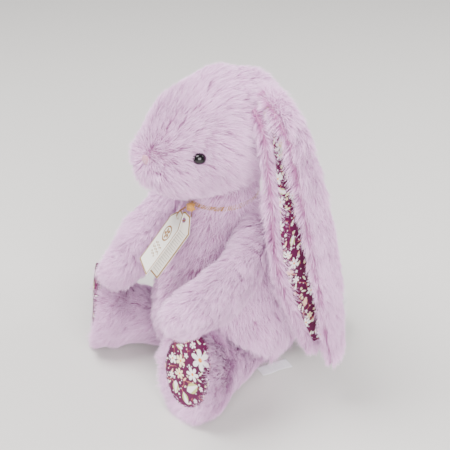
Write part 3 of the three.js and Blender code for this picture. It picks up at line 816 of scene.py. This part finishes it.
for side, sign in SIDES:
    arm_nodes = tuple(f"arm_{side}_{part}" for part in ("outer_panel", "inner_panel", "stuffing"))
    arm_mesh = soft_form(f"arm_{side}_skin", arm_nodes, 2.6 * MM, PILE_INSET, 7)
    finished(f"arm_{side}_skin", arm_mesh, LILAC_SKIN, f"arm_{side}", arm_nodes)
    low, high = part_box(arm_nodes[0])
    inside = middle(arm_nodes[2])[0]
    start = np.array([inside, high[1] - 16 * MM, high[2] - 16 * MM])
    end = np.array([inside, low[1] + 14 * MM, low[2] + 20 * MM])

    def comb_arm(roots, normals, start=start, end=end):
        """From the shoulder to the paw, a little outwards and down."""
        length = np.linalg.norm(end - start)
        axis = (end - start) / length
        share = np.clip((roots - start) @ axis / length, 0, 1)
        middle_line = start + share[:, None] * (end - start)
        return axis[None, :] + unit(roots - middle_line) * 0.3 + np.array([0, 0, -0.35])

    add_pile(f"arm_{side}_pile", arm_mesh, strands(0.85), 31 + sign, comb_arm, 8.6 * MM, LILAC_PILE,
             f"arm_{side}")

# ---------------------------------------------------------------- legs and soles

SOLE_SINKS = {"left": 1.5 * MM, "right": 0.0}  # how far each sole is drawn into the pile
SOLE_PRINTS = {"left": (175.0, 50.0), "right": (175.0, 120.0)}  # its middle on the cloth, in mm
SOLE_HALVES = (21, 29)  # in mm
SOLE_SWELL, SOLE_BACKING = 2.0, 4.5  # its crown's and its back's thickness, in mm
BARE_HALVES = (18.5 * MM, 26 * MM)  # the oval without pile
BARE_DEPTH = 8 * MM
RIM_DEPTH = 26 * MM  # how far from the sole the pile turns outwards
WHITE_FLOWER = (PETAL_WHITE, HEART_ORANGE)
CREAM_FLOWER = (PETAL_CREAM, HEART_ORANGE)
BUD = (PETAL_WHITE, LEAF_GREEN)
# Motifs on each sole: across, up, radius, petals (0 makes a bud), and the two fills.
SOLE_MOTIFS = {
    "left": (
        (10.5, 13.0, 7.8, 6, WHITE_FLOWER),
        (6.0, 0.0, 5.6, 6, WHITE_FLOWER),
        (-6.0, 4.3, 4.8, 6, CREAM_FLOWER),
        (-13.6, 2.4, 4.2, 5, WHITE_FLOWER),
        (-5.4, -5.2, 4.2, 7, CREAM_FLOWER),
        (2.5, 20.5, 2.8, 5, WHITE_FLOWER),
        (-3.4, 23.5, 3.4, 6, CREAM_FLOWER),
        (-1.7, 10.5, 2.2, 5, WHITE_FLOWER),
        (15.0, -7.0, 1.9, 5, WHITE_FLOWER),
        (11.5, -18.0, 1.9, 5, WHITE_FLOWER),
        (-12.5, -9.5, 2.6, 6, WHITE_FLOWER),
        (7.4, -10.2, 6.4, 0, BUD),
        (2.5, -20.5, 4.6, 0, BUD),
        (-7.4, -16.5, 4.8, 0, BUD),
        (-9.0, 13.5, 3.4, 0, BUD),
    ),
    "right": (
        (-6.0, 12.0, 6.6, 6, WHITE_FLOWER),
        (7.0, 2.0, 5.2, 6, CREAM_FLOWER),
        (-7.0, -5.0, 4.6, 5, WHITE_FLOWER),
        (6.0, -14.0, 4.4, 6, WHITE_FLOWER),
        (8.0, 17.0, 3.6, 5, CREAM_FLOWER),
        (-4.0, -18.0, 4.8, 0, BUD),
        (-13.0, 3.0, 3.6, 0, BUD),
    ),
}


def sole_frame(side):
    """(middle, across, up, out) of a foot's sole, from the pad's own faces."""
    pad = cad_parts[f"foot_{side}_sole_pad"].data
    front = max(pad.polygons, key=lambda face: face.area if face.normal.y < 0 else 0.0)
    out = Vector(front.normal).normalized()
    across = Vector((0, 0, 1)).cross(out).normalized()
    return Vector(middle(f"foot_{side}_sole_pad")), across, out.cross(across), out


for side, sign in SIDES:
    leg_parts = ("outer_panel", "inner_panel", "stuffing")
    leg_nodes = (*(f"leg_{side}_{part}" for part in leg_parts), f"foot_{side}_bean_pouch")
    leg_mesh = soft_form(f"leg_{side}_skin", leg_nodes, 2.8 * MM, PILE_INSET, 6)
    finished(f"leg_{side}_skin", leg_mesh, LILAC_SKIN, f"leg_{side}", leg_nodes)
    centre, across, up, out = sole_frame(side)
    axes = [np.array(axis) for axis in (centre, across, up, out)]

    def comb_leg(roots, normals, axes=axes):
        """Along the leg to the foot, and outwards round the sole's rim."""
        centre, _, _, out = axes
        offset = roots - centre
        depth = offset @ out
        radial = unit(offset - depth[:, None] * out[None, :])
        close = np.clip(1 - np.abs(depth) / RIM_DEPTH, 0, 1)[:, None] ** 2
        along = out[None, :] * (1.0 - close * 0.2)
        return along + radial * (0.1 + close * 0.4) + np.array([0, 0, -0.3])

    def off_sole(roots, normals, axes=axes):
        centre, across, up, out = axes
        offset = roots - centre
        reach = (offset @ across / BARE_HALVES[0]) ** 2 + (offset @ up / BARE_HALVES[1]) ** 2
        return ~((reach < 1) & (offset @ out > -BARE_DEPTH))

    add_pile(f"leg_{side}_pile", leg_mesh, strands(1.15), 41 + sign, comb_leg, 8.8 * MM, LILAC_PILE,
             f"leg_{side}", keep=off_sole, gather=0.3)

    print_x, print_y = SOLE_PRINTS[side]
    form = bmesh.new()
    bmesh.ops.create_uvsphere(form, u_segments=56, v_segments=24, radius=1.0)
    layer = form.loops.layers.uv.new(MAP_NAME)
    for vert in form.verts:
        reach = math.hypot(vert.co.x, vert.co.y)
        swell = math.copysign(abs(vert.co.z) ** 0.7, vert.co.z)
        x, y = vert.co.x * SOLE_HALVES[0], vert.co.y * SOLE_HALVES[1]
        pucker = math.sin(math.atan2(vert.co.y, vert.co.x) * 34) * 0.25 * reach ** 6
        ripple = math.sin(x / 7 + 1.3) * math.sin(y / 9) * 0.35
        z = swell * (SOLE_SWELL if swell > 0 else SOLE_BACKING) + pucker + ripple
        vert.co = Vector((x, y, z)) * MM
    for face in form.faces:
        for corner in face.loops:
            x, y = corner.vert.co.x / MM, corner.vert.co.y / MM
            corner[layer].uv = ((print_x + x) / CLOTH, (print_y + y) / CLOTH)
    place = Matrix((across, up, out)).transposed().to_4x4()
    place.translation = centre - out * SOLE_SINKS[side]
    bmesh.ops.transform(form, matrix=place, verts=form.verts)
    motifs = [
        (print_x + x, print_y + y, size, petals, *fills)
        for x, y, size, petals, fills in SOLE_MOTIFS[side]
    ]
    sole_print = print_material(f"sole_print_{side}", SMALL_LEAVES, SMALL_FLOWERS, motifs)
    sole_mesh = mesh_of(f"foot_{side}_sole", form)
    finished(f"foot_{side}_sole", sole_mesh, sole_print, f"leg_{side}",
             (f"foot_{side}_sole_pad",))

# ---------------------------------------------------------------- ears

LINING_PRINTS = {"left": 31.0, "right": 72.0}
LINING_PRINT = print_material("lining_print", LEAVES, FLOWERS)

ROOT_DRAWN = {"left": 6 * MM, "right": 2 * MM}  # how far the seam draws each ear's root onto the head
ROOT_STRETCH = 34 * MM
OVER_LINING = 1.3 * MM
LINING_SEARCH, LIP_SEARCH = 11 * MM, 8 * MM
LIP_REACH = 6 * MM
LINING_START = 12  # where the print starts on the cloth, in mm


def draw_root(mesh, side, sign):
    """Sinks an ear's root towards the head, more and more over its top stretch."""
    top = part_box(f"ear_{side}_back")[1][2]
    for vert in mesh.vertices:
        share = min(max((vert.co.z - top + ROOT_STRETCH) / ROOT_STRETCH, 0.0), 1.0)
        drawn = share * share * (3 - 2 * share) * ROOT_DRAWN[side]
        vert.co -= Vector((sign * drawn, 0, drawn * 0.9))


for side, sign in SIDES:
    back_node, lining_node = f"ear_{side}_back", f"ear_{side}_lining"
    ear_mesh = soft_form(f"ear_{side}_skin", (back_node,), 1.6 * MM, 2.2 * MM, 4)
    draw_root(ear_mesh, side, sign)
    finished(f"ear_{side}_skin", ear_mesh, LILAC_SKIN, f"ear_{side}", (back_node,))
    lining_mesh = soft_form(f"ear_{side}_lining_cloth", (lining_node,), 0.75 * MM, -0.15 * MM, 6)
    draw_root(lining_mesh, side, sign)
    lining_tree = tree_of(lining_mesh)

    def off_lining(roots, normals, tree=lining_tree):
        """Drops the strands that the lining lies right above."""
        keep = np.ones(len(roots), dtype=bool)
        for i, (root, normal) in enumerate(zip(roots, normals)):
            nearest = tree.find_nearest(Vector(root), LINING_SEARCH)[0]
            if nearest is not None:
                offset = np.array(nearest) - root
                rise = offset @ normal
                keep[i] = rise < 0 or np.linalg.norm(offset - normal * rise) > OVER_LINING
        return keep

    def comb_ear(roots, normals, tree=lining_tree):
        """Down the ear, and beside the lining over its edge."""
        flow = np.zeros_like(roots)
        flow[:, 2] = -1.0
        flow[:, 1] = -0.2
        for i, (root, normal) in enumerate(zip(roots, normals)):
            nearest = tree.find_nearest(Vector(root), LIP_SEARCH)[0]
            if nearest is not None:
                offset = np.array(nearest) - root
                rise = offset @ normal
                aside = offset - normal * rise
                reach = np.linalg.norm(aside)
                if rise > 0.5 * MM:
                    flow[i] += aside / reach * 1.1 * max(1 - reach / LIP_REACH, 0)
        return flow

    add_pile(f"ear_{side}_pile", ear_mesh, strands(1.35), 51 + sign, comb_ear, 8.4 * MM, LILAC_PILE,
             f"ear_{side}", keep=off_lining, lean=0.7)

    form = bmesh.new()
    form.from_mesh(lining_mesh)
    form.normal_update()
    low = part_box(lining_node)[0]
    layer = form.loops.layers.uv.new(MAP_NAME)
    for vert in form.verts:
        _, y, z = vert.co / MM
        vert.co += vert.normal * math.sin(z / 11) * math.sin(y / 6 + z / 23) * 0.3 * MM
    for face in form.faces:
        for corner in face.loops:
            spot = corner.vert.co
            print_x = LINING_PRINTS[side] + (spot.y - low[1] + sign * spot.x) / MM
            print_y = LINING_START + (spot.z - low[2]) / MM
            corner[layer].uv = (print_x / CLOTH, print_y / CLOTH)
    cloth_mesh = mesh_of(f"ear_{side}_lining_cloth", form)
    finished(f"ear_{side}_lining_cloth", cloth_mesh, LINING_PRINT, f"ear_{side}",
             (lining_node,))

# ---------------------------------------------------------------- nose, ribbon, tag and label

NOSE_PLACE = Vector((0, 2.8 * MM, -0.5 * MM))  # drawn back into the pile, and down
NOSE_SHARES = (0.85, 0.8, 0.85)  # of the CAD nose's width, depth and height
nose_halves = [(high - low) / 2 * share for low, high, share in zip(*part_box("nose"), NOSE_SHARES)]
form = bmesh.new()
bmesh.ops.create_uvsphere(form, u_segments=24, v_segments=14, radius=1.0)
for vert in form.verts:
    taper = 1.0 - 0.35 * max(-vert.co.z, 0.0)
    x, y, z = (share * half for share, half in zip(vert.co, nose_halves))
    vert.co = Vector(NOSE_TIP) + Vector((x * taper, y, z)) + NOSE_PLACE
finished("nose_stitches", mesh_of("nose_stitches", form), STITCH, "head", ("nose",))


def ribbon_strip(name, points, width, thickness, body, node):
    """A flat ribbon swept along points: its edge lies across each point's given side direction."""
    form = bmesh.new()
    rows = []
    for point, side in points:
        half = side.normalized() * width / 2
        rows.append([form.verts.new(point + half * k) for k in (-1, -0.5, 0, 0.5, 1)])
    for row, following in zip(rows, rows[1:]):
        for i in range(4):
            form.faces.new((row[i], row[i + 1], following[i + 1], following[i]))
    bmesh.ops.solidify(form, geom=form.faces, thickness=thickness)
    bmesh.ops.recalc_face_normals(form, faces=form.faces)
    finished(name, mesh_of(name, form), GOLD_SATIN, body, (node,))


COLLAR_SINK = 1.8 * MM  # the ribbon draws the pile in by this
COLLAR_STEPS = 96
collar_half = [(high - low) / 2 - COLLAR_SINK for low, high in zip(*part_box("neck_ribbon"))]
collar_points = []
for step in range(COLLAR_STEPS + 1):
    angle = step / COLLAR_STEPS * 2 * math.pi
    cosine, sine = math.cos(angle), math.sin(angle)
    wave = math.sin(angle * 3 + 0.6) * 0.5 * MM
    spot = Vector((cosine * collar_half[0], sine * collar_half[1], wave))
    tilt = Vector((cosine, sine, 0)) * 0.12 * math.sin(angle * 5)
    collar_points.append((Vector(middle("neck_ribbon")) + spot, Vector((0, 0, 1)) + tilt))
ribbon_strip("collar_ribbon", collar_points, 3.4 * MM, 0.35 * MM, "body", "neck_ribbon")

KNOT = Vector(middle("ribbon_knot"))
KNOT_HALVES = (3.4, 2.9, 3.0)  # in mm
form = bmesh.new()
bmesh.ops.create_uvsphere(form, u_segments=28, v_segments=16, radius=1.0)
for vert in form.verts:
    x, y, z = vert.co
    fold = 1 + 0.16 * math.sin(math.atan2(y, x) * 5 + z * 4) - 0.25 * fade(z, 0.25)
    spot = Vector((x * fold * KNOT_HALVES[0], y * fold * KNOT_HALVES[1], z * KNOT_HALVES[2]))
    vert.co = KNOT + spot * MM
knot_mesh = mesh_of("ribbon_knot_folds", form)
finished("ribbon_knot_folds", knot_mesh, GOLD_SATIN, "body", ("ribbon_knot",))

# The tag hangs from its hole, turned from lying flat. Its own measures are millimetres from the hole.
TAG_TURN = Matrix.Rotation(math.radians(-22), 4, "Z") @ Matrix.Rotation(math.radians(54), 4, "X")
TAG_PLACE = Matrix.Translation(KNOT + Vector((-3, -8, -7)) * MM) @ TAG_TURN
TAG_HALF = 10.5
TAG_TOP = 5.0
TAG_TOP_HALF = 3.0
TAG_FOOT = -42.0
TAG_SHOULDER = -4.0
TAG_HOLE = 1.8
TAG_THICK = 0.5
TAG_CURL = 0.0011
TAG_MAP = (24.0, 50.0)  # the size of its flat map
TAG_MAP_ZERO = (12.0, 44.0)  # and where the hole lies on it
LOOP_ROUTE = (
    (-0.5, 8.4, -5.3), (-0.9, 4, -7.5), (-0.9, -0.2, -5),
    (0, -0.2, 1.2), (0.3, 4, 2.8), (0.1, 9.2, 0.5),
)


def smooth_route(points, count):
    """Points evenly spread along a Catmull-Rom curve through the given ones."""
    ends = [2 * points[0] - points[1], *points, 2 * points[-1] - points[-2]]
    route = []
    for step in range(count):
        at = step / (count - 1) * (len(points) - 1)
        i = min(int(at), len(points) - 2)
        t = at - i
        a, b, c, d = ends[i:i + 4]
        square, cube = 2 * a - 5 * b + 4 * c - d, 3 * b - a - 3 * c + d
        route.append(0.5 * (2 * b + (c - a) * t + square * t ** 2 + cube * t ** 3))
    return route


loop_route = smooth_route([Vector(point) * MM for point in LOOP_ROUTE], 40)
loop_side = TAG_TURN.to_3x3() @ Vector((1, 0.1, 0))
loop_points = [(TAG_PLACE @ point, loop_side) for point in loop_route]
ribbon_strip("tag_ribbon", loop_points, 2.2 * MM, 0.3 * MM, "swing_tag", "tag_ribbon_loop")


def card_material(name, printed):
    """Cream card with a gold line inside its edge; on the front a flower in a ring, over wavy lines."""
    paint = Paint(name, 0.6, Specular_IOR_Level=0.35)
    across, up = paint.uv()
    x = across * TAG_MAP[0] - TAG_MAP_ZERO[0]
    y = up * TAG_MAP[1] - TAG_MAP_ZERO[1]
    aside = x.math("ABSOLUTE")
    slope = (TAG_TOP - y) * 0.64 - (aside - TAG_TOP_HALF) * 0.77
    edge = (TAG_HALF - aside).math("MINIMUM", y - TAG_FOOT).math("MINIMUM", slope)
    edge = edge.math("MINIMUM", TAG_TOP - y)
    flat = paint.place(across, up)
    fibre = paint.noise(60.0, 4.0, flat)
    card = paint.mix(fibre, colour(236, 230, 218), colour(250, 247, 240))
    gold = paint.mix(paint.noise(40.0, 2.0, flat), colour(128, 84, 22), colour(168, 120, 42))
    line = ((0.55 - (edge - 0.6).math("ABSOLUTE")) * 8).clamp()
    card = paint.mix(line, card, gold)
    if printed:
        dy = y + 13.0
        reach = (x * x + dy * dy) ** 0.5 / 5.0
        ring = ((0.13 - (reach - 1.0).math("ABSOLUTE")) * 30).clamp()
        petal, heart = flower(x, dy, 0.3, 4.0, 5)
        card = paint.mix(ring, card, gold)
        card = paint.mix(petal * (1.0 - heart), card, gold)
        wave = (x * 1.7).math("SINE") * 0.7
        for row, half in ((-23.0, 5.5), (-26.5, 6.5), (-30.0, 4.0)):
            bar = ((0.5 - (y - row - wave).math("ABSOLUTE")) * 8).clamp()
            card = paint.mix(bar * ((half - aside) > 0.0), card, gold)
    else:
        rows = ((y * 3.4).math("SINE") - 0.72) * 5.0
        inside = ((edge - 2.6) * 6).clamp() * ((y + 6.0) < 0.0)
        card = paint.mix(rows.clamp() * inside * 0.75, card, colour(108, 98, 92))
    paint.bump(fibre, 0.15, 0.0002)
    return paint.finish(card)


def tag_leaf(name, node, material, body, place):
    """A leaf of card: cut corners, a punched hole, and a slight curl along its length."""
    form = bmesh.new()
    right = ((TAG_HALF, TAG_FOOT), (TAG_HALF, TAG_SHOULDER), (TAG_TOP_HALF, TAG_TOP))
    outline = ((-TAG_HALF, TAG_FOOT), *right, (-TAG_TOP_HALF, TAG_TOP), (-TAG_HALF, TAG_SHOULDER))
    outer = [form.verts.new((x, y, 0)) for x, y in outline]
    angles = np.linspace(0, 2 * math.pi, 25)[:-1]
    hole = [form.verts.new((math.cos(a) * TAG_HOLE, math.sin(a) * TAG_HOLE, 0)) for a in angles]
    rings = [zip(ring, ring[1:] + ring[:1]) for ring in (outer, hole)]
    edges = [form.edges.new(pair) for ring in rings for pair in ring]
    bmesh.ops.triangle_fill(form, edges=edges, use_beauty=True)
    cuts = [((0, float(y), 0), (0, 1, 0)) for y in np.arange(TAG_FOOT + 4, TAG_TOP, 4)]
    cuts += [((float(x), 0, 0), (1, 0, 0)) for x in np.arange(-8, 9, 4)]
    for spot, facing in cuts:
        whole = form.verts[:] + form.edges[:] + form.faces[:]
        bmesh.ops.bisect_plane(form, geom=whole, plane_co=spot, plane_no=facing)
    bmesh.ops.recalc_face_normals(form, faces=form.faces)
    bmesh.ops.solidify(form, geom=form.faces, thickness=TAG_THICK)
    bmesh.ops.recalc_face_normals(form, faces=form.faces)
    low = min(vert.co.z for vert in form.verts)
    layer = form.loops.layers.uv.new(MAP_NAME)
    for face in form.faces:
        for corner in face.loops:
            x, y, _ = corner.vert.co
            across, up = x + TAG_MAP_ZERO[0], y + TAG_MAP_ZERO[1]
            corner[layer].uv = (across / TAG_MAP[0], up / TAG_MAP[1])
    for vert in form.verts:
        vert.co.z += TAG_CURL * (vert.co.y * 0.5) ** 2 - low
        vert.co *= MM
    bmesh.ops.transform(form, matrix=place, verts=form.verts)
    finished(name, mesh_of(name, form, smooth=False), material, body, (node,))


FOLD = Matrix.Translation(Vector((-TAG_HALF, 0, 0)) * MM) @ Matrix.Rotation(math.radians(24), 4, "Y")
BEHIND = Matrix.Translation(Vector((TAG_HALF, 0, -0.9)) * MM)
FRONT_CARD = card_material("front_card", True)
BACK_CARD = card_material("back_card", False)
tag_leaf("tag_front_card", "tag_front_leaf", FRONT_CARD, "swing_tag", TAG_PLACE)
tag_leaf("tag_back_card", "tag_back_leaf", BACK_CARD, "tag_back", TAG_PLACE @ FOLD @ BEHIND)

LABEL_FLAT = (10.2, 24.2)  # in mm
LABEL_TURN = Matrix.Rotation(math.radians(-12), 3, "Z")
LABEL_THICK = 0.15 * MM
label_middle = Vector(middle("care_label"))
form = bmesh.new()
bmesh.ops.create_grid(form, x_segments=14, y_segments=34, size=0.5)
for vert in form.verts:
    x, y = vert.co.x * LABEL_FLAT[0], vert.co.y * LABEL_FLAT[1]
    lift = 0.35 * (1 + math.sin(y * 0.35 + 0.8)) * max(x / LABEL_FLAT[0] * 2, 0)
    curl = lift + 0.1 * math.sin(y * 0.9) ** 2
    vert.co = label_middle + LABEL_TURN @ Vector((x, y, curl)) * MM
bmesh.ops.solidify(form, geom=form.faces, thickness=LABEL_THICK)
bmesh.ops.recalc_face_normals(form, faces=form.faces)
for vert in form.verts:
    vert.co.z = max(vert.co.z, LABEL_THICK)
label_mesh = mesh_of("care_label_satin", form)
label = finished("care_label_satin", label_mesh, WHITE_SATIN, "body", ("care_label",))

# ---------------------------------------------------------------- inner pieces that stay as they are

WASHER = washer_material("washer_plastic", colour(214, 210, 202), colour(240, 238, 232))
for side, _ in SIDES:
    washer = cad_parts[f"eye_washer_{side}"]
    washer.data.materials.clear()
    washer.data.materials.append(WASHER)
